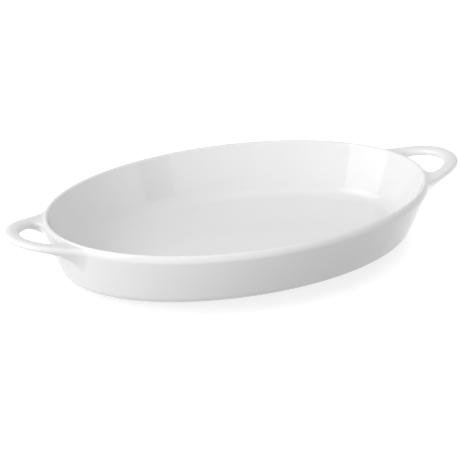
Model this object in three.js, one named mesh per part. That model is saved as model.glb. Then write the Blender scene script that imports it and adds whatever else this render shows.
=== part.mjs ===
// Oval porcelain baking dish with a loop handle at each end.
//
// The body is cast in one with its rim and foot. The two handles are cast apart and luted to the
// wall with slip while the clay is leather-hard, so each handle is a piece of its own that ends on
// the wall in two spread roots.
//
// Millimetres, +Z up. The origin is the middle of the foot plane, +X runs along the oval
// towards the right handle and +Y runs across it.
import * as THREE from "three";

// Body
const RIM_LENGTH = 274; // over the rim, along X, without the handles
const RIM_WIDTH = 180; // over the rim, along Y
const HEIGHT = 40.4; // foot to the crest of the rim
const WALL = 5; // the rim is a full round of this thickness
const RIM_DRAFT_DEG = 19; // how far the wall leans out where it meets the rim
const WALL_RADIUS = 380; // the wall swells a little between the rim and the foot
const FLOOR_THICKNESS = 4.6; // between the recess and the cooking floor
const FLOOR_FILLET_RADIUS = 13; // where the floor sweeps up into the wall
const FOOT_WIDTH = 5; // flat, unglazed ring that the dish stands on
const FOOT_HEIGHT = 1.2; // how far the underside is lifted inside the ring
const FOOT_SLOPE = 1.5; // run from the ring up to the underside
const FOOT_EDGE_RADIUS = 11.8; // where the wall rounds under to the foot

// Handles
const HANDLE_REACH = 28.4; // how far the loop stands out past the rim
const HANDLE_SPAN = 48; // across the loop's two arms, centre to centre
const HANDLE_LIFT = 3; // how far the loop rises from its roots to its tip
const ARM_BELOW_RIM = 3.2; // depth of the arms' centre below the crest at the roots
const BAR_WIDTH = 9.6; // section of the loop
const BAR_THICKNESS = 5.2;
const BAR_ROLL_DEG = 6.7; // the bar's outer edge is tipped up
const BAR_SQUARENESS = 2.3; // 2 is an ellipse, more is squarer, less is more pointed
const ROOT_LENGTH = 20.5; // stretch of each arm that spreads into its root
const ROOT_OUTER_SPREAD = 15.9; // of the root along the wall, away from the loop
const ROOT_INNER_SPREAD = 15; // of the root along the wall, inside the loop
const ROOT_RISE = 2.8; // of the root up to the rim, from the arm's centre
const ROOT_DROP = 20; // of the root down the wall, from the arm's centre
const ROOT_TOP_SQUARENESS = 4; // the root keeps its width up to the rim
const ROOT_TAIL_SQUARENESS = 1.15; // and draws to a point below
const ROOT_LEAN = 5.2; // how far the tail's point lies away from the loop
const ROOT_SWEEP = 0.65; // how tight the roots' fillets are: 0 is a straight flare, 1 a sharp corner
const LUTE_GAP = 0.3; // seam of slip between a root and the wall

// Facets
const OVAL_SEGMENTS = 96;
const SECTION_SEGMENTS = 24;
const LOOP_STEPS = 18;
const ROOT_STEPS = 10;
const CAP_RINGS = 3;
const CHORD_ERROR = 0.08; // how far a facet of the body's section may lie off its arc
const SLOPE_STEP = 1e-3; // of a turn or a share, to take the direction of a curve

// Finish
const GLAZE_COLOUR = 0xececea; // white glaze over porcelain, glossy
const GLAZE_ROUGHNESS = 0.12;

// The body's half section, as if the dish were round and as wide as its rim. x runs out from the
// axis and y runs up. The rim, both faces of the wall and the fillets are tangent arcs.
const rimRadius = WALL / 2;
const floorHeight = FOOT_HEIGHT + FLOOR_THICKNESS;
const rimDraft = THREE.MathUtils.degToRad(RIM_DRAFT_DEG);
const rimCentre = new THREE.Vector2(RIM_WIDTH / 2 - rimRadius, HEIGHT - rimRadius);
const wallCentre = new THREE.Vector2(Math.cos(rimDraft), -Math.sin(rimDraft))
  .multiplyScalar(rimRadius - WALL_RADIUS)
  .add(rimCentre);

// How far out a circle about the middle of the wall's arc is, at a height below that middle.
function reachAt(height, radius) {
  return wallCentre.x + Math.sqrt(radius ** 2 - (height - wallCentre.y) ** 2);
}

function directionFromWallCentre(point) {
  return Math.atan2(point.y - wallCentre.y, point.x - wallCentre.x);
}

function arc(centre, radius, from, to) {
  const largestStep = 2 * Math.acos(1 - CHORD_ERROR / radius);
  const steps = Math.ceil(Math.abs(to - from) / largestStep);
  return new THREE.EllipseCurve(centre.x, centre.y, radius, radius, from, to, to < from).getPoints(steps);
}

// Runs from the middle of the underside, round the outside and the rim, to the middle of the floor.
function bodySection() {
  const footEdge = new THREE.Vector2(0, FOOT_EDGE_RADIUS);
  footEdge.x = reachAt(footEdge.y, WALL_RADIUS - FOOT_EDGE_RADIUS);
  const fillet = new THREE.Vector2(0, floorHeight + FLOOR_FILLET_RADIUS);
  fillet.x = reachAt(fillet.y, WALL_RADIUS - WALL - FLOOR_FILLET_RADIUS);
  const wallFoot = directionFromWallCentre(footEdge);
  const filletTop = directionFromWallCentre(fillet);
  const down = -Math.PI / 2;
  const ringInside = footEdge.x - FOOT_WIDTH;
  return [
    new THREE.Vector2(0, FOOT_HEIGHT),
    new THREE.Vector2(ringInside - FOOT_SLOPE, FOOT_HEIGHT),
    new THREE.Vector2(ringInside, 0),
    ...arc(footEdge, FOOT_EDGE_RADIUS, down, wallFoot),
    ...arc(wallCentre, WALL_RADIUS, wallFoot, -rimDraft).slice(1),
    ...arc(rimCentre, rimRadius, -rimDraft, Math.PI - rimDraft).slice(1),
    ...arc(wallCentre, WALL_RADIUS - WALL, -rimDraft, filletTop).slice(1),
    ...arc(fillet, FLOOR_FILLET_RADIUS, filletTop, down).slice(1),
    new THREE.Vector2(0, floorHeight),
  ];
}

// Revolves the half section and pulls its two ends apart to an oval. Every ring is an ellipse, and
// the wall keeps its thickness all round, because only the flat middle panel takes the stretch.
function dishBody() {
  const section = bodySection();
  const panelRadius = Math.min(section[1].x, section[section.length - 2].x);
  const pull = (RIM_LENGTH - RIM_WIDTH) / 2;
  const geometry = new THREE.LatheGeometry(section, OVAL_SEGMENTS).rotateX(Math.PI / 2);
  const points = geometry.attributes.position;
  for (let i = 0; i < points.count; i++) {
    const x = points.getX(i);
    const radius = Math.hypot(x, points.getY(i));
    const lengthways = radius > 0 ? x / radius : 0;
    points.setX(i, x + pull * lengthways * Math.min(1, radius / panelRadius));
  }
  return geometry;
}

// Distance in from the rim's widest outline to the outer face, at a height up the wall or round the rim.
function outerInset(height) {
  const rimFoot = rimCentre.y - rimRadius * Math.sin(rimDraft);
  if (height < rimFoot) {
    return RIM_WIDTH / 2 - reachAt(height, WALL_RADIUS);
  }
  const rise = Math.min(1, Math.abs(height - rimCentre.y) / rimRadius);
  return rimRadius * (1 - Math.sqrt(1 - rise ** 2));
}

// The loop's centre line, for an angle of 0 at the tip and a quarter turn either way at the roots.
const loopTip = RIM_LENGTH / 2 + HANDLE_REACH - BAR_WIDTH / 2;
const rootAngle = Math.asin(HANDLE_SPAN / RIM_WIDTH);
const rootLine = (RIM_LENGTH / 2) * Math.cos(rootAngle);
const armHeight = HEIGHT - ARM_BELOW_RIM;
function loopPoint(angle) {
  const out = Math.cos(angle);
  const x = THREE.MathUtils.lerp(rootLine, loopTip, out);
  return new THREE.Vector3(x, (HANDLE_SPAN / 2) * Math.sin(angle), armHeight + HANDLE_LIFT * out);
}

function loopDirection(angle) {
  return loopPoint(angle + SLOPE_STEP).sub(loopPoint(angle - SLOPE_STEP)).normalize();
}

function power(value, exponent) {
  return Math.sign(value) * Math.abs(value) ** exponent;
}

function ringOf(pointAt) {
  const turnPerPoint = (2 * Math.PI) / SECTION_SEGMENTS;
  return Array.from({ length: SECTION_SEGMENTS }, (_, j) => pointAt(turnPerPoint * j));
}

// Section of the bar, square to its centre line. A ring starts at the loop's outer side and turns
// over the top.
function barRing(angle) {
  const roll = THREE.MathUtils.degToRad(BAR_ROLL_DEG);
  const along = loopDirection(angle);
  const outward = new THREE.Vector3(along.y, -along.x, 0).normalize().applyAxisAngle(along, -roll);
  const upward = new THREE.Vector3().crossVectors(outward, along);
  return ringOf((turn) =>
    loopPoint(angle)
      .addScaledVector(outward, (BAR_WIDTH / 2) * power(Math.cos(turn), 2 / BAR_SQUARENESS))
      .addScaledVector(upward, (BAR_THICKNESS / 2) * power(Math.sin(turn), 2 / BAR_SQUARENESS)),
  );
}

// A point of a root's outline on the wall, one slip seam off it. share is 1 on the outline and 0 at
// its middle, and side is 1 for the root on the +Y side.
function rootPoint(turn, share, side) {
  const across = Math.cos(turn);
  const upward = Math.sin(turn);
  const bend = 2 / (upward > 0 ? ROOT_TOP_SQUARENESS : ROOT_TAIL_SQUARENESS);
  const lean = ROOT_LEAN * power(Math.max(0, -upward), bend);
  const spread = (across > 0 ? ROOT_OUTER_SPREAD : ROOT_INNER_SPREAD) * power(across, bend) + lean;
  const climb = (upward > 0 ? ROOT_RISE : ROOT_DROP) * power(upward, bend);
  const height = armHeight + share * climb;
  const seam = outerInset(height) - LUTE_GAP / Math.cos(rimDraft);
  const length = RIM_LENGTH / 2 - seam;
  const width = RIM_WIDTH / 2 - seam;
  const arcPerTurn = Math.hypot(length * Math.sin(rootAngle), width * Math.cos(rootAngle));
  const angle = rootAngle + (share * spread) / arcPerTurn;
  return new THREE.Vector3(length * Math.cos(angle), side * width * Math.sin(angle), height);
}

function rootRing(share, side) {
  return ringOf((turn) => rootPoint(turn, share, side));
}

// Rings from the bar's end to the root's outline. Each line leaves the bar along the arm and lands
// along the wall, so the root spreads in a fillet all round.
function rootBlend(bar, along, side) {
  const middle = rootPoint(0, 0, side);
  const justInside = rootRing(1 - SLOPE_STEP, side);
  const lines = rootRing(1, side).map((foot, j) => {
    const landing = foot.clone().sub(justInside[j]).normalize();
    const leave = bar[j].clone().addScaledVector(along, ROOT_SWEEP * ROOT_LENGTH);
    const land = foot.clone().addScaledVector(landing, -ROOT_SWEEP * foot.distanceTo(middle));
    return new THREE.CubicBezierCurve3(bar[j], leave, land, foot);
  });
  return Array.from({ length: ROOT_STEPS }, (_, step) => {
    const share = (step + 1) / ROOT_STEPS;
    return lines.map((line) => line.getPoint(share));
  });
}

// Rings over the face that is luted to the wall, from inside its outline to round its middle.
function rootFace(side) {
  return Array.from({ length: CAP_RINGS - 1 }, (_, ring) => rootRing(1 - (ring + 1) / CAP_RINGS, side));
}

// Closed skin through rings of equally many points, with a pole at each end.
function skin(rings, startPole, endPole) {
  const count = rings[0].length;
  const lastRing = (rings.length - 1) * count;
  const start = rings.length * count;
  const end = start + 1;
  const faces = [];
  for (let j = 0; j < count; j++) {
    const next = (j + 1) % count;
    faces.push(start, j, next);
    for (let ring = 0; ring < lastRing; ring += count) {
      faces.push(ring + j, ring + count + next, ring + next);
      faces.push(ring + j, ring + count + j, ring + count + next);
    }
    faces.push(end, lastRing + next, lastRing + j);
  }
  const geometry = new THREE.BufferGeometry().setFromPoints([...rings.flat(), startPole, endPole]);
  geometry.setIndex(faces);
  geometry.computeVertexNormals();
  return geometry;
}

// The handle at the +X end, from its root on the -Y side round the loop to the other root.
function handle() {
  const barEnd = Math.acos(ROOT_LENGTH / (loopTip - rootLine));
  const bars = Array.from({ length: LOOP_STEPS + 1 }, (_, step) => {
    const share = (2 * step) / LOOP_STEPS - 1;
    return barRing(barEnd * share);
  });
  const rings = [
    ...rootFace(-1).reverse(),
    ...rootBlend(bars[0], loopDirection(-barEnd).negate(), -1).reverse(),
    ...bars,
    ...rootBlend(bars[LOOP_STEPS], loopDirection(barEnd), 1),
    ...rootFace(1),
  ];
  return skin(rings, rootPoint(0, 0, -1), rootPoint(0, 0, 1));
}

function glazedPiece(name, geometry) {
  const look = { color: GLAZE_COLOUR, roughness: GLAZE_ROUGHNESS, metalness: 0 };
  const mesh = new THREE.Mesh(geometry, new THREE.MeshStandardMaterial(look));
  mesh.name = name;
  return mesh;
}

const dish = new THREE.Group();
dish.add(glazedPiece("dish_body", dishBody()));
dish.add(glazedPiece("right_handle", handle()));

// The same handle, turned to the other end
const leftEnd = new THREE.Group();
leftEnd.rotation.z = Math.PI;
leftEnd.add(glazedPiece("left_handle", handle()));
dish.add(leftEnd);

export default dish;
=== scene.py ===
import math
from typing import NamedTuple

import bpy
import numpy as np
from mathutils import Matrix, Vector


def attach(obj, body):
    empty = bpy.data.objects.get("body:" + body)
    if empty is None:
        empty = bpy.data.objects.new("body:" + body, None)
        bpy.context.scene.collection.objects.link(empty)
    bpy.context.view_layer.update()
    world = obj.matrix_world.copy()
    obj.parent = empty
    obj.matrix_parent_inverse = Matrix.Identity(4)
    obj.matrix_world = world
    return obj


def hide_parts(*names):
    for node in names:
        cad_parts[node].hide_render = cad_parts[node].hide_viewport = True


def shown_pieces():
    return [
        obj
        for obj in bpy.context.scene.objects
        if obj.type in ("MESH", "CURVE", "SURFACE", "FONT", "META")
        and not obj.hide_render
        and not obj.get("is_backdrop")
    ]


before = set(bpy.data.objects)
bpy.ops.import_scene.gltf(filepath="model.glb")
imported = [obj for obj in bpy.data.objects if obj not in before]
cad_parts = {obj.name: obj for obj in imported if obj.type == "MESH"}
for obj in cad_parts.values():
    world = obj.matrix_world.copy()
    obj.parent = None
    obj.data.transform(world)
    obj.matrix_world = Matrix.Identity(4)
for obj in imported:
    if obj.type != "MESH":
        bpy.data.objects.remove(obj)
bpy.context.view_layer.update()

bl_info = {
    "name": "Oval Baking Dish",
    "version": (1, 0, 0),
    "blender": (4, 5, 0),
    "location": "View3D > Sidebar > Dish",
    "description": "A glazed oval baking dish with two loop handles, and a white studio to see it in",
    "category": "Object",
}

BODY = "root"
WHITE = (1, 1, 1, 1)


# Properties
def length(name, description, default):
    return bpy.props.FloatProperty(
        name=name, description=description, default=default, min=0.0, precision=4, unit="LENGTH"
    )


def angle(name, description, degrees):
    return bpy.props.FloatProperty(
        name=name, description=description, default=math.radians(degrees), subtype="ANGLE", unit="ROTATION"
    )


def number(name, description, default):
    return bpy.props.FloatProperty(name=name, description=description, default=default, min=0.0, precision=3)


def colour(name, description, default):
    return bpy.props.FloatVectorProperty(
        name=name, description=description, default=default, size=3, min=0.0, max=1.0, subtype="COLOR"
    )


class DishBodySizes(bpy.types.PropertyGroup):
    """Sizes of the cast body."""

    rim_length: length("Rim length", "Over the rim lengthways, without the handles", 0.274)
    rim_width: length("Rim width", "Over the rim crossways", 0.18)
    height: length("Height", "Foot to the crest of the rim", 0.0404)
    wall: length("Wall", "Thickness of the wall, up to the rim", 0.005)
    rim_shoulder: length("Rim shoulder", "Radius of the soft outer side of the rim", 0.0045)
    rim_edge: length("Rim edge", "Radius of the tighter inner side of the rim", 0.0015)
    rim_draft: angle("Rim draft", "How far the wall leans out where it meets the rim", 20)
    wall_radius: length("Wall radius", "Slight swell of the wall between rim and foot", 0.38)
    floor_thickness: length("Floor thickness", "Between the recess and the cooking floor", 0.0046)
    floor_fillet: length("Floor fillet", "Where the floor sweeps up into the wall", 0.013)
    foot_width: length("Foot width", "Bare ring that the dish stands on", 0.005)
    foot_height: length("Foot height", "How far the underside is lifted inside the ring", 0.0012)
    foot_slope: length("Foot slope", "Run from the ring up to the underside", 0.0015)
    foot_edge: length("Foot edge radius", "Where the wall rounds under to the foot", 0.0118)


class LoopHandleSizes(bpy.types.PropertyGroup):
    """Sizes of the two loop handles."""

    reach: length("Reach", "How far the loop stands out past the rim", 0.0284)
    span: length("Span", "Across the loop's two arms, centre to centre", 0.048)
    lift: length("Lift", "How far the loop rises from its roots to its tip", 0.003)
    arm_below_rim: length("Arm below rim", "Depth of the arms' centre below the crest", 0.0032)
    bar_width: length("Bar width", "Width of the loop's section", 0.0096)
    bar_thickness: length("Bar thickness", "Thickness of the loop's section", 0.0052)
    roll: angle("Roll", "How far the bar's outer edge is tipped up", 6.7)
    bar_squareness: number("Bar squareness", "2 is an ellipse, more is squarer", 2.3)
    root_length: length("Root length", "Stretch of each arm that spreads into its root", 0.0205)
    root_outer_spread: length("Root outer spread", "Along the wall, away from the loop", 0.0159)
    root_inner_spread: length("Root inner spread", "Along the wall, inside the loop", 0.015)
    root_rise: length("Root rise", "Up to the rim from the arm's centre", 0.0028)
    root_drop: length("Root drop", "Down the wall from the arm's centre", 0.02)
    root_top_squareness: number("Root top squareness", "The root keeps its width up to the rim", 4.0)
    root_tail_squareness: number("Root tail squareness", "The root draws to a point below", 1.15)
    root_lean: length("Root lean", "How far the tail's point lies away from the loop", 0.0052)
    root_sweep: number("Root sweep", "0 is a straight flare, 1 a sharp corner", 0.65)
    root_sink: length("Root sink", "How deep the root's edge is bedded into the wall", 0.00012)


class PorcelainLook(bpy.types.PropertyGroup):
    """Colours and finish of the glaze and of the bare clay."""

    glaze: colour("Glaze", "White of the glazed porcelain", (0.80, 0.80, 0.80))
    thin_glaze: colour("Thin glaze", "Where the glaze lies a little thinner", (0.787, 0.787, 0.785))
    gloss_low: number("Least roughness", "Roughness of the glaze where it is smoothest", 0.02)
    gloss_high: number("Most roughness", "Roughness of the glaze where it is least smooth", 0.045)
    ripple: length("Ripple", "Depth of the waves in the glaze", 0.00002)
    bare_clay: colour("Bare clay", "Unglazed foot ring", (0.80, 0.785, 0.755))
    bare_roughness: number("Bare roughness", "Roughness of the unglazed foot ring", 0.7)


class StudioSetup(bpy.types.PropertyGroup):
    """Lit table, lamps and camera."""

    camera_turn: angle("Camera turn", "Round the dish from its long side", -26.22)
    camera_rise: angle("Camera rise", "Above the table", 23.74)
    camera_distance: length("Camera distance", "From the middle of the dish", 1.6223)
    lens: number("Lens", "Focal length on a 36 mm sensor, in millimetres", 189.37)
    frame_left: length("Frame left", "How far the view is aimed to the left of the dish", 0.00597)
    frame_down: length("Frame down", "How far the view is aimed below the dish", 0.00497)
    floor: colour("Floor", "Matt table under the dish", (0.45, 0.45, 0.45))
    floor_glow: number("Floor glow", "Light that the table throws up at the dish", 0.29)
    # Painted pool of light: a glow on the table beside the right end, which no lamp throws.
    painted_pool_glow: number("Pool glow", "The same beside the right end, where the table is lit most", 2.6)
    # Painted shade: under the rim the camera and the glaze see the table darker by this lower lift, on top
    # of its real shadow.
    painted_shade_lift: number("Near lift", "What the camera sees on top of the table's light, under the rim", 0.69)
    far_lift: number("Far lift", "What the camera sees on top of the table's light, further off", 1.0)
    ambient: number("Ambient", "Light from the white room all round", 0.42)
    key: number("Key", "Brightness of the softbox on the left", 7.1)
    fill: number("Fill", "Brightness of the softbox in front, on the right", 2.2)
    side: number("Side", "Brightness of the softbox behind, on the left", 0.72)
    back: number("Back", "Brightness of the softbox high behind", 0.9)
    panel: number("Panel", "Brightness of the tall panel that the glaze mirrors on the right", 1.5)
    corner: number("Corner", "Brightness of the mirrored panel high on the left", 2.4)
    overhead: number("Overhead", "Brightness of the mirrored panel straight above", 0.5)


# Form of the wall
class WallForm:
    """Half section of the dish as if it were round: x runs out from the axis and y runs up."""

    def __init__(self, body):
        self.body = body
        self.floor_height = body.foot_height + body.floor_thickness
        # The rim is a soft shoulder that runs into a tighter edge, and is as thick as the wall.
        narrowing = body.rim_shoulder - body.rim_edge
        overlap = body.rim_shoulder + body.rim_edge - body.wall
        self.rim_meet = math.acos(overlap / narrowing) - body.rim_draft
        meet = np.array([math.cos(self.rim_meet), math.sin(self.rim_meet)])
        shoulder_height = body.height - body.rim_edge - narrowing * meet[1]
        self.shoulder_centre = np.array([body.rim_width / 2 - body.rim_shoulder, shoulder_height])
        self.edge_centre = self.shoulder_centre + narrowing * meet
        lean = np.array([math.cos(body.rim_draft), -math.sin(body.rim_draft)])
        self.centre = self.shoulder_centre - lean * (body.wall_radius - body.rim_shoulder)

    def reach(self, height, radius):
        """How far out a circle about the middle of the wall's arc is, at a height."""
        return self.centre[0] + np.sqrt(radius**2 - (height - self.centre[1]) ** 2)

    def direction(self, point):
        """Angle of a point seen from the middle of the wall's arc."""
        x, y = point - self.centre
        return math.atan2(y, x)

    def inset(self, height):
        """Distance in from the rim's widest outline to the outer face, at a height."""
        body = self.body
        rim_foot = self.shoulder_centre[1] - body.rim_shoulder * math.sin(body.rim_draft)
        on_wall = body.rim_width / 2 - self.reach(np.minimum(height, rim_foot), body.wall_radius)
        rise = np.minimum(1.0, np.abs(height - self.shoulder_centre[1]) / body.rim_shoulder)
        on_rim = body.rim_shoulder * (1 - np.sqrt(1 - rise**2))
        return np.where(height < rim_foot, on_wall, on_rim)


def arc(centre, radius, start, end, steps):
    turns = np.linspace(start, end, steps + 1)
    return centre + radius * np.column_stack([np.cos(turns), np.sin(turns)])


def straight(start, end, steps):
    return np.linspace(start, end, steps + 1)


def power(value, exponent):
    """Raises the size of a value and keeps its sign."""
    return np.sign(value) * np.abs(value) ** exponent


# Meshes
def skin(name, rings, start_pole, end_pole):
    """Closed smooth mesh through rings of equally many points, with a fan to a pole at each end."""
    count, per_ring = rings.shape[:2]
    points = np.concatenate([rings.reshape(-1, 3), [start_pole, end_pole]])
    start, end = len(points) - 2, len(points) - 1
    faces = []
    last = (count - 1) * per_ring
    for place in range(per_ring):
        following = (place + 1) % per_ring
        faces.append((start, following, place))
        for ring in range(0, last, per_ring):
            next_ring = ring + per_ring
            faces.append((ring + place, ring + following, next_ring + following, next_ring + place))
        faces.append((last + place, last + following, end))
    mesh = bpy.data.meshes.new(name)
    mesh.from_pydata(points.tolist(), [], faces)
    mesh.shade_smooth()
    return mesh


def add_piece(name, mesh, node):
    """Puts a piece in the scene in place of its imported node."""
    piece = bpy.data.objects.new(name, mesh)
    bpy.context.scene.collection.objects.link(piece)
    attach(piece, BODY)
    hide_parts(node)
    return piece


# Body
OVAL_STEPS = 256
PANEL_STEPS = 12
FOOT_EDGE_STEPS = 10
WALL_STEPS = 28
RIM_STEPS = 16
FILLET_STEPS = 22
SLOPE_STEPS = 3
FOOT_STEPS = 2


def body_section(wall):
    """Points from the middle of the underside, round the outside and the rim, to the middle of the floor.
    The first and last row of the bare foot ring come with them."""
    body = wall.body
    down = -math.pi / 2
    foot_reach = wall.reach(body.foot_edge, body.wall_radius - body.foot_edge)
    foot = np.array([foot_reach, body.foot_edge])
    fillet_height = wall.floor_height + body.floor_fillet
    fillet_reach = wall.reach(fillet_height, body.wall_radius - body.wall - body.floor_fillet)
    fillet = np.array([fillet_reach, fillet_height])
    wall_foot, fillet_top = wall.direction(foot), wall.direction(fillet)
    wall_top = wall.direction(wall.edge_centre)
    ring_inside = foot_reach - body.foot_width
    recess_edge = (ring_inside - body.foot_slope, body.foot_height)
    runs = [
        straight((0, body.foot_height), recess_edge, PANEL_STEPS)[1:],
        straight(recess_edge, (ring_inside, 0), SLOPE_STEPS)[1:],
        straight((ring_inside, 0), (foot_reach, 0), FOOT_STEPS)[1:],
        arc(foot, body.foot_edge, down, wall_foot, FOOT_EDGE_STEPS)[1:],
        arc(wall.centre, body.wall_radius, wall_foot, -body.rim_draft, WALL_STEPS)[1:],
        arc(wall.shoulder_centre, body.rim_shoulder, -body.rim_draft, wall.rim_meet, RIM_STEPS)[1:],
        arc(wall.edge_centre, body.rim_edge, wall.rim_meet, math.pi + wall_top, RIM_STEPS)[1:],
        arc(wall.centre, body.wall_radius - body.wall, wall_top, fillet_top, WALL_STEPS)[1:],
        arc(fillet, body.floor_fillet, fillet_top, down, FILLET_STEPS)[1:],
        straight((fillet_reach, wall.floor_height), (0, wall.floor_height), PANEL_STEPS)[1:-1],
    ]
    foot_row = PANEL_STEPS + SLOPE_STEPS - 1
    return np.concatenate(runs), (foot_row, foot_row + FOOT_STEPS)


def dish_body(body):
    """The section revolved, with its two ends pulled apart to an oval."""
    wall = WallForm(body)
    section, foot_rows = body_section(wall)
    pull = (body.rim_length - body.rim_width) / 2
    panel = min(section[PANEL_STEPS - 1, 0], section[-PANEL_STEPS, 0])
    turns = np.linspace(0, 2 * math.pi, OVAL_STEPS, endpoint=False)
    radius = section[:, :1]
    rings = np.empty((len(section), OVAL_STEPS, 3))
    rings[:, :, 0] = (radius + pull * np.minimum(1, radius / panel)) * np.cos(turns)
    rings[:, :, 1] = radius * np.sin(turns)
    rings[:, :, 2] = section[:, 1:]
    mesh = skin("dish_body_mesh", rings, (0, 0, body.foot_height), (0, 0, wall.floor_height))
    mark_bare_foot(mesh, section, foot_rows)
    return mesh


def mark_bare_foot(mesh, section, foot_rows):
    """Gives the flat of the foot ring the second material."""
    first, last = foot_rows
    rows = len(section) + 1
    for face in mesh.polygons:
        row = face.index % rows - 1
        if first <= row < last:
            face.material_index = 1


# Handles
SECTION_STEPS = 64
LOOP_STEPS = 96
ROOT_STEPS = 28
CAP_RINGS = 4
SLOPE_STEP = 1e-3


class LoopForm:
    """The handle at the +X end: a half oval loop whose arms spread into roots on the wall."""

    def __init__(self, body, sizes):
        self.body = body
        self.sizes = sizes
        self.wall = WallForm(body)
        self.tip = body.rim_length / 2 + sizes.reach - sizes.bar_width / 2
        self.root_angle = math.asin(sizes.span / body.rim_width)
        self.root_line = body.rim_length / 2 * math.cos(self.root_angle)
        self.arm_height = body.height - sizes.arm_below_rim
        self.turns = np.linspace(0, 2 * math.pi, SECTION_STEPS, endpoint=False)

    def point(self, turn):
        """On the loop's centre line: 0 is the tip, and a quarter turn either way is a root."""
        out = math.cos(turn)
        x = self.root_line + (self.tip - self.root_line) * out
        return np.array([x, self.sizes.span / 2 * math.sin(turn), self.arm_height + self.sizes.lift * out])

    def along(self, turn):
        step = self.point(turn + SLOPE_STEP) - self.point(turn - SLOPE_STEP)
        return step / np.linalg.norm(step)

    def bar_ring(self, turn):
        """Section of the bar, square to its centre line, from the loop's outer side over the top."""
        sizes = self.sizes
        along = self.along(turn)
        level = np.array([along[1], -along[0], 0])
        level /= np.linalg.norm(level)
        above = np.cross(level, along)
        outward = level * math.cos(sizes.roll) + above * math.sin(sizes.roll)
        upward = np.cross(outward, along)
        across = sizes.bar_width / 2 * power(np.cos(self.turns), 2 / sizes.bar_squareness)
        over = sizes.bar_thickness / 2 * power(np.sin(self.turns), 2 / sizes.bar_squareness)
        return self.point(turn) + np.outer(across, outward) + np.outer(over, upward)

    def root_ring(self, share, side):
        """A root's outline on the wall. share is 1 on the outline and 0 at its middle."""
        sizes, body = self.sizes, self.body
        across, upward = np.cos(self.turns), np.sin(self.turns)
        bend = 2 / np.where(upward > 0, sizes.root_top_squareness, sizes.root_tail_squareness)
        spread = np.where(across > 0, sizes.root_outer_spread, sizes.root_inner_spread) * power(across, bend)
        spread += sizes.root_lean * power(np.maximum(0, -upward), bend)
        climb = np.where(upward > 0, sizes.root_rise, sizes.root_drop) * power(upward, bend)
        height = self.arm_height + share * climb
        seam = self.wall.inset(height) + sizes.root_sink
        half_length, half_width = body.rim_length / 2 - seam, body.rim_width / 2 - seam
        slide_x, slide_y = half_length * math.sin(self.root_angle), half_width * math.cos(self.root_angle)
        arc_per_turn = np.hypot(slide_x, slide_y)
        turn = self.root_angle + share * spread / arc_per_turn
        return np.column_stack([half_length * np.cos(turn), side * half_width * np.sin(turn), height])

    def root_blend(self, bar, along, side):
        """Rings from the bar's end to the root's outline, in a fillet all round."""
        sizes = self.sizes
        middle = self.root_ring(0, side)[0]
        foot = self.root_ring(1, side)
        landing = foot - self.root_ring(1 - SLOPE_STEP, side)
        landing /= np.linalg.norm(landing, axis=1, keepdims=True)
        leave = bar + along * sizes.root_sweep * sizes.root_length
        land = foot - landing * sizes.root_sweep * np.linalg.norm(foot - middle, axis=1, keepdims=True)
        rings = []
        for t in np.linspace(0, 1, ROOT_STEPS + 1)[1:]:
            s = 1 - t
            rings.append(s**3 * bar + 3 * s**2 * t * leave + 3 * s * t**2 * land + t**3 * foot)
        return rings

    def root_face(self, side):
        """Rings over the face that is bedded on the wall."""
        return [self.root_ring(1 - (ring + 1) / CAP_RINGS, side) for ring in range(CAP_RINGS - 1)]

    def mesh(self, name):
        bar_end = math.acos(self.sizes.root_length / (self.tip - self.root_line))
        bars = [self.bar_ring(turn) for turn in np.linspace(-bar_end, bar_end, LOOP_STEPS + 1)]
        near_root = self.root_blend(bars[0], -self.along(-bar_end), -1) + self.root_face(-1)
        far_root = self.root_blend(bars[-1], self.along(bar_end), 1) + self.root_face(1)
        rings = np.array(far_root[::-1] + bars[::-1] + near_root)
        return skin(name, rings, self.root_ring(0, 1)[0], self.root_ring(0, -1)[0])


def turned_half(mesh):
    """Turns a mesh to the other end of the dish."""
    for vertex in mesh.vertices:
        vertex.co.x, vertex.co.y = -vertex.co.x, -vertex.co.y
    mesh.update()
    return mesh


# Materials
class Grain(NamedTuple):
    """Noise in the dish's own metres: how fine it is and how much finer noise lies on it."""

    scale: float
    detail: float


GLAZE_FINISH = "glazed_porcelain_finish"
GLAZE_IOR = 1.52
GLAZE_TONE = Grain(scale=22, detail=2)
GLAZE_GLOSS = Grain(scale=140, detail=3)
GLAZE_WAVES = Grain(scale=55, detail=1)
CLAY_TONE = Grain(scale=300, detail=4)
CLAY_GRAIN = Grain(scale=4000, detail=3)
CLAY_GRAIN_DEPTH = 0.00006
WORN_SHARE = 0.93
NOISE_LOW, NOISE_HIGH = 0.3, 0.7


def new_material(name):
    material = bpy.data.materials.new(name)
    material.use_nodes = True
    tree = material.node_tree
    return material, tree, tree.nodes["Principled BSDF"]


def noise(tree, grain):
    place = tree.nodes.new("ShaderNodeTexCoord")
    texture = tree.nodes.new("ShaderNodeTexNoise")
    texture.inputs["Scale"].default_value = grain.scale
    texture.inputs["Detail"].default_value = grain.detail
    tree.links.new(place.outputs["Object"], texture.inputs["Vector"])
    return texture.outputs["Fac"]


def spread_between(tree, factor, low, high):
    """Maps noise to a range of values."""
    node = tree.nodes.new("ShaderNodeMapRange")
    node.inputs["From Min"].default_value = NOISE_LOW
    node.inputs["From Max"].default_value = NOISE_HIGH
    node.inputs["To Min"].default_value = low
    node.inputs["To Max"].default_value = high
    tree.links.new(factor, node.inputs["Value"])
    return node.outputs["Result"]


def tint_between(tree, factor, low, high):
    """Maps noise to a range of colours."""
    node = tree.nodes.new("ShaderNodeValToRGB")
    node.color_ramp.elements[0].position = NOISE_LOW
    node.color_ramp.elements[0].color = (*low, 1)
    node.color_ramp.elements[1].position = NOISE_HIGH
    node.color_ramp.elements[1].color = (*high, 1)
    tree.links.new(factor, node.inputs["Fac"])
    return node.outputs["Color"]


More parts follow.
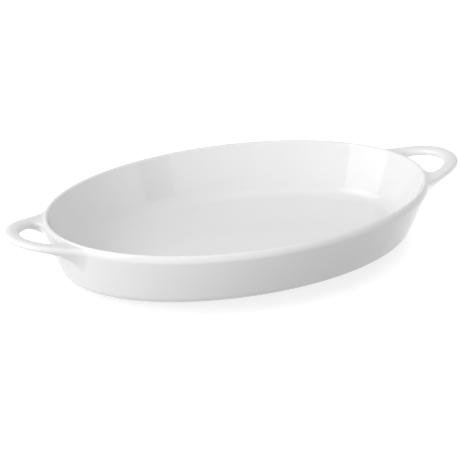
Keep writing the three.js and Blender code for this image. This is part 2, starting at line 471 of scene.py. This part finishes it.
def bump(tree, shader, height, depth):
    """Raises a shader's surface by noise, up to a depth."""
    node = tree.nodes.new("ShaderNodeBump")
    node.inputs["Strength"].default_value = 1.0
    node.inputs["Distance"].default_value = depth
    tree.links.new(height, node.inputs["Height"])
    tree.links.new(node.outputs["Normal"], shader.inputs["Normal"])


def glazed_porcelain(look):
    """Clear gloss glaze over white clay, a little uneven in tone, gloss and level."""
    material = bpy.data.materials.get(GLAZE_FINISH)
    if material:
        return material
    material, tree, shader = new_material(GLAZE_FINISH)
    shader.inputs["IOR"].default_value = GLAZE_IOR
    tone = tint_between(tree, noise(tree, GLAZE_TONE), look.thin_glaze, look.glaze)
    tree.links.new(tone, shader.inputs["Base Color"])
    gloss = spread_between(tree, noise(tree, GLAZE_GLOSS), look.gloss_low, look.gloss_high)
    tree.links.new(gloss, shader.inputs["Roughness"])
    bump(tree, shader, noise(tree, GLAZE_WAVES), look.ripple)
    return material


def bare_porcelain(look):
    """Dry, finely grained clay of the foot ring, which stays free of glaze."""
    material, tree, shader = new_material("bare_porcelain_finish")
    shader.inputs["Roughness"].default_value = look.bare_roughness
    worn = tuple(WORN_SHARE * channel for channel in look.bare_clay)
    tone = tint_between(tree, noise(tree, CLAY_TONE), worn, look.bare_clay)
    tree.links.new(tone, shader.inputs["Base Color"])
    bump(tree, shader, noise(tree, CLAY_GRAIN), CLAY_GRAIN_DEPTH)
    return material


# Stage
SENSOR_WIDTH = 36


def around(turn, rise, distance):
    """A place seen from the dish: turn 0 is in front of its long side, and rise is above the table."""
    level = math.cos(rise)
    return distance * Vector((math.sin(turn) * level, -math.cos(turn) * level, math.sin(rise)))


def aim(thing, target):
    """Turns a camera, lamp or card to face a place."""
    thing.rotation_euler = (Vector(target) - thing.location).to_track_quat("-Z", "Y").to_euler()


def add_camera(studio, middle):
    """The camera, aimed a little to the left of the dish's middle and below it."""
    camera = bpy.data.objects.new("camera", bpy.data.cameras.new("camera"))
    bpy.context.scene.collection.objects.link(camera)
    camera.data.lens = studio.lens
    camera.data.sensor_width = SENSOR_WIDTH
    camera.location = middle + around(studio.camera_turn, studio.camera_rise, studio.camera_distance)
    back = (camera.location - middle).normalized()
    right = Vector((math.cos(studio.camera_turn), math.sin(studio.camera_turn), 0))
    up = back.cross(right)
    aim(camera, middle - right * studio.frame_left - up * studio.frame_down)
    bpy.context.scene.camera = camera


class Softbox(NamedTuple):
    """A bright panel that faces the dish: its place in degrees round and above it, and its face in metres.
    It either lights the dish or is only mirrored in the glaze."""

    turn: float
    rise: float
    width: float
    height: float
    mirrored: bool


SOFTBOXES = {
    "key": Softbox(turn=-70, rise=0, width=0.7, height=1.4, mirrored=False),
    "fill": Softbox(turn=45, rise=35, width=0.9, height=0.8, mirrored=False),
    "side": Softbox(turn=-140, rise=35, width=1.2, height=0.8, mirrored=False),
    "back": Softbox(turn=180, rise=60, width=1.2, height=0.8, mirrored=False),
    "panel": Softbox(turn=-80, rise=0, width=1.21, height=2.4, mirrored=True),
    "corner": Softbox(turn=-100, rise=55, width=1.0, height=0.8, mirrored=True),
    "overhead": Softbox(turn=0, rise=80, width=1.2, height=1.2, mirrored=True),
}
SOFTBOX_DISTANCE = 1.5
# A softbox on the table's level stands this far above it.
SOFTBOX_FOOT = 0.02


def add_softbox(name, softbox, middle, strength, lit):
    """A softbox for one collection alone. Its face is as bright as its strength, where 1 is white."""
    lamp = bpy.data.lights.new(name, "AREA")
    lamp.shape = "RECTANGLE"
    lamp.size, lamp.size_y = softbox.width, softbox.height
    lamp.energy = math.pi * softbox.width * softbox.height * strength
    box = bpy.data.objects.new(name, lamp)
    bpy.context.scene.collection.objects.link(box)
    target = middle if softbox.rise else Vector((0, 0, SOFTBOX_FOOT + softbox.height / 2))
    box.location = target + around(math.radians(softbox.turn), math.radians(softbox.rise), SOFTBOX_DISTANCE)
    aim(box, target)
    box.visible_glossy = softbox.mirrored
    box.visible_diffuse = not softbox.mirrored
    box.light_linking.receiver_collection = lit


def dish_alone():
    """Collection of the dish's pieces, so that the softboxes leave the table to the room's even light."""
    lit = bpy.data.collections.new("dish_alone")
    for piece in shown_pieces():
        lit.objects.link(piece)
    return lit


def seen_directly(tree):
    """1 for what the camera sees, straight or in a reflection, and 0 for light that falls on the dish."""
    path = tree.nodes.new("ShaderNodeLightPath")
    either = tree.nodes.new("ShaderNodeMath")
    either.operation = "MAXIMUM"
    tree.links.new(path.outputs["Is Camera Ray"], either.inputs[0])
    tree.links.new(path.outputs["Is Glossy Ray"], either.inputs[1])
    return either.outputs["Value"]


def white_room(studio):
    """World that looks white and lights the dish gently from all round."""
    world = bpy.data.worlds.new("white_room")
    bpy.context.scene.world = world
    world.use_nodes = True
    tree = world.node_tree
    light = tree.nodes["Background"]
    light.inputs["Color"].default_value = WHITE
    light.inputs["Strength"].default_value = studio.ambient
    white = tree.nodes.new("ShaderNodeBackground")
    white.inputs["Color"].default_value = WHITE
    white.inputs["Strength"].default_value = 1.0
    mix = tree.nodes.new("ShaderNodeMixShader")
    tree.links.new(seen_directly(tree), mix.inputs["Fac"])
    tree.links.new(light.outputs["Background"], mix.inputs[1])
    tree.links.new(white.outputs["Background"], mix.inputs[2])
    tree.links.new(mix.outputs["Shader"], tree.nodes["World Output"].inputs["Surface"])


class TableFade(NamedTuple):
    """An oval on the table, in metres, over which a light fades from one strength to another."""

    middle: tuple
    half_sizes: tuple
    start: float
    end: float


# Painted pool of light: the table glows most beside the dish's right end, with no lamp there.
PAINTED_POOL_FADE = TableFade(middle=(0.22, -0.04, 0), half_sizes=(0.09, 0.09, 1), start=0.2, end=1.0)
# The painted shade under the dish, where the table's lift is lower, follows the rim's oval, but is shorter
# by this much at each end.
PAINTED_SHADE_SHORTER = 0.02
PAINTED_SHADE_START, PAINTED_SHADE_END = 0.9, 1.3


def fade_over_table(tree, fade, inside, outside):
    """Strength of a light on the table, from the middle of an oval outwards."""
    place = tree.nodes.new("ShaderNodeTexCoord")
    offset = tree.nodes.new("ShaderNodeVectorMath")
    offset.operation = "SUBTRACT"
    offset.inputs[1].default_value = fade.middle
    tree.links.new(place.outputs["Object"], offset.inputs[0])
    oval = tree.nodes.new("ShaderNodeVectorMath")
    oval.operation = "DIVIDE"
    oval.inputs[1].default_value = fade.half_sizes
    tree.links.new(offset.outputs["Vector"], oval.inputs[0])
    away = tree.nodes.new("ShaderNodeVectorMath")
    away.operation = "LENGTH"
    tree.links.new(oval.outputs["Vector"], away.inputs[0])
    strength = tree.nodes.new("ShaderNodeMapRange")
    strength.interpolation_type = "SMOOTHSTEP"
    strength.inputs["From Min"].default_value = fade.start
    strength.inputs["From Max"].default_value = fade.end
    strength.inputs["To Min"].default_value = inside
    strength.inputs["To Max"].default_value = outside
    tree.links.new(away.outputs["Value"], strength.inputs["Value"])
    return strength.outputs["Result"]


def lit_table(studio, body):
    """Matt table, lit from below, that the camera sees as white with the dish's shadow on it. That shadow is
    partly real and partly painted shade, where the lift is lower under the rim. A painted pool of light
    glows on the table beside the right end.
    """
    material, tree, shader = new_material("lit_table")
    shader.inputs["Base Color"].default_value = (*studio.floor, 1)
    shader.inputs["Roughness"].default_value = 1.0
    shader.inputs["Specular IOR Level"].default_value = 0.0
    shader.inputs["Emission Color"].default_value = WHITE
    painted_shade_oval = (body.rim_length / 2 - PAINTED_SHADE_SHORTER, body.rim_width / 2, 1)
    painted_shade_fade = TableFade(middle=(0, 0, 0), half_sizes=painted_shade_oval, start=PAINTED_SHADE_START, end=PAINTED_SHADE_END)
    glow = tree.nodes.new("ShaderNodeMix")
    tree.links.new(seen_directly(tree), glow.inputs["Factor"])
    # Painted pool of light: the table glows beside the right end for the light that reaches the dish.
    tree.links.new(fade_over_table(tree, PAINTED_POOL_FADE, studio.painted_pool_glow, studio.floor_glow), glow.inputs["A"])
    # Painted shade: the lift is lower under the rim, so the table shows darker round the dish.
    tree.links.new(fade_over_table(tree, painted_shade_fade, studio.painted_shade_lift, studio.far_lift), glow.inputs["B"])
    tree.links.new(glow.outputs["Result"], shader.inputs["Emission Strength"])
    clear_from_below(tree, shader)
    return material


def clear_from_below(tree, shader):
    """Makes a surface one-sided, so that a view from under the table shows the dish's underside."""
    face = tree.nodes.new("ShaderNodeNewGeometry")
    clear = tree.nodes.new("ShaderNodeBsdfTransparent")
    mix = tree.nodes.new("ShaderNodeMixShader")
    tree.links.new(face.outputs["Backfacing"], mix.inputs["Fac"])
    tree.links.new(shader.outputs["BSDF"], mix.inputs[1])
    tree.links.new(clear.outputs["BSDF"], mix.inputs[2])
    tree.links.new(mix.outputs["Shader"], tree.nodes["Material Output"].inputs["Surface"])


def add_sheet(name, half_width, half_height, middle, material):
    """A flat rectangle of the stage, facing up."""
    sides = ((-1, -1), (1, -1), (1, 1), (-1, 1))
    corners = [Vector((x * half_width, y * half_height, 0)) + Vector(middle) for x, y in sides]
    mesh = bpy.data.meshes.new(name)
    mesh.from_pydata(corners, [], [(0, 1, 2, 3)])
    mesh.materials.append(material)
    sheet = bpy.data.objects.new(name, mesh)
    bpy.context.scene.collection.objects.link(sheet)
    sheet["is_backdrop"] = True
    return sheet


# The table lies a hair below the foot ring, and its diagonal seam runs past the dish.
FLOOR_HALF = 6.0
FLOOR_MIDDLE = (1.0, 0.0, -0.0001)


def add_floor(studio, body):
    add_sheet("floor", FLOOR_HALF, FLOOR_HALF, FLOOR_MIDDLE, lit_table(studio, body))


CARD_TURN, CARD_RISE = 38, 14
CARD_WIDTH, CARD_HEIGHT = 0.33, 0.46
CARD_BLACK = (0.01, 0.01, 0.01, 1)


def add_dark_card(middle):
    """A black card on the right, which the glaze mirrors as a duller patch on the back wall."""
    material, _, shader = new_material("black_card")
    shader.inputs["Base Color"].default_value = CARD_BLACK
    shader.inputs["Specular IOR Level"].default_value = 0.0
    card = add_sheet("dark_card", CARD_WIDTH / 2, CARD_HEIGHT / 2, (0, 0, 0), material)
    card.location = middle + around(math.radians(CARD_TURN), math.radians(CARD_RISE), SOFTBOX_DISTANCE)
    aim(card, middle)
    card.visible_camera = False
    card.visible_diffuse = False
    card.visible_shadow = False


# Operators
class DISH_OT_make_body(bpy.types.Operator):
    """Make the oval body with its rounded rim and bare foot ring"""

    bl_idname = "dish.make_body"
    bl_label = "Make Body"

    def execute(self, context):
        scene = context.scene
        piece = add_piece("oval_body", dish_body(scene.dish_body_sizes), "dish_body")
        piece.data.materials.append(glazed_porcelain(scene.porcelain_look))
        piece.data.materials.append(bare_porcelain(scene.porcelain_look))
        return {"FINISHED"}


class DISH_OT_make_handles(bpy.types.Operator):
    """Make the loop handle at each end"""

    bl_idname = "dish.make_handles"
    bl_label = "Make Handles"

    def execute(self, context):
        scene = context.scene
        loop = LoopForm(scene.dish_body_sizes, scene.loop_handle_sizes)
        glaze = glazed_porcelain(scene.porcelain_look)
        meshes = {"right": loop.mesh("right_loop_mesh"), "left": turned_half(loop.mesh("left_loop_mesh"))}
        for side, mesh in meshes.items():
            piece = add_piece(f"{side}_loop_handle", mesh, f"{side}_handle")
            piece.data.materials.append(glaze)
        return {"FINISHED"}


class DISH_OT_make_stage(bpy.types.Operator):
    """Set the lit table, the lamps and the camera"""

    bl_idname = "dish.make_stage"
    bl_label = "Make Stage"

    def execute(self, context):
        scene = context.scene
        studio = scene.studio_setup
        middle = Vector((0, 0, scene.dish_body_sizes.height / 2))
        scene.view_settings.view_transform = "Standard"
        white_room(studio)
        add_floor(studio, scene.dish_body_sizes)
        lit = dish_alone()
        for name, softbox in SOFTBOXES.items():
            add_softbox(f"{name}_softbox", softbox, middle, getattr(studio, name), lit)
        add_dark_card(middle)
        add_camera(studio, middle)
        return {"FINISHED"}


class DISH_PT_sidebar(bpy.types.Panel):
    """Sizes, colours and steps of the dish"""

    bl_label = "Oval Baking Dish"
    bl_space_type = "VIEW_3D"
    bl_region_type = "UI"
    bl_category = "Dish"

    def draw(self, context):
        for name in GROUPS:
            group = getattr(context.scene, name)
            box = self.layout.box()
            box.label(text=group.bl_rna.description)
            for key in group.__annotations__:
                box.prop(group, key)
        for operator in OPERATORS:
            self.layout.operator(operator.bl_idname)


GROUPS = {
    "dish_body_sizes": DishBodySizes,
    "loop_handle_sizes": LoopHandleSizes,
    "porcelain_look": PorcelainLook,
    "studio_setup": StudioSetup,
}
OPERATORS = (DISH_OT_make_body, DISH_OT_make_handles, DISH_OT_make_stage)


def register():
    for kind in (*GROUPS.values(), *OPERATORS, DISH_PT_sidebar):
        bpy.utils.register_class(kind)
    for name, group in GROUPS.items():
        setattr(bpy.types.Scene, name, bpy.props.PointerProperty(type=group))


def unregister():
    for name in GROUPS:
        delattr(bpy.types.Scene, name)
    for kind in (DISH_PT_sidebar, *OPERATORS, *GROUPS.values()):
        bpy.utils.unregister_class(kind)


def main():
    register()
    bpy.ops.dish.make_body()
    bpy.ops.dish.make_handles()
    bpy.ops.dish.make_stage()


if __name__ == "__main__":
    main()
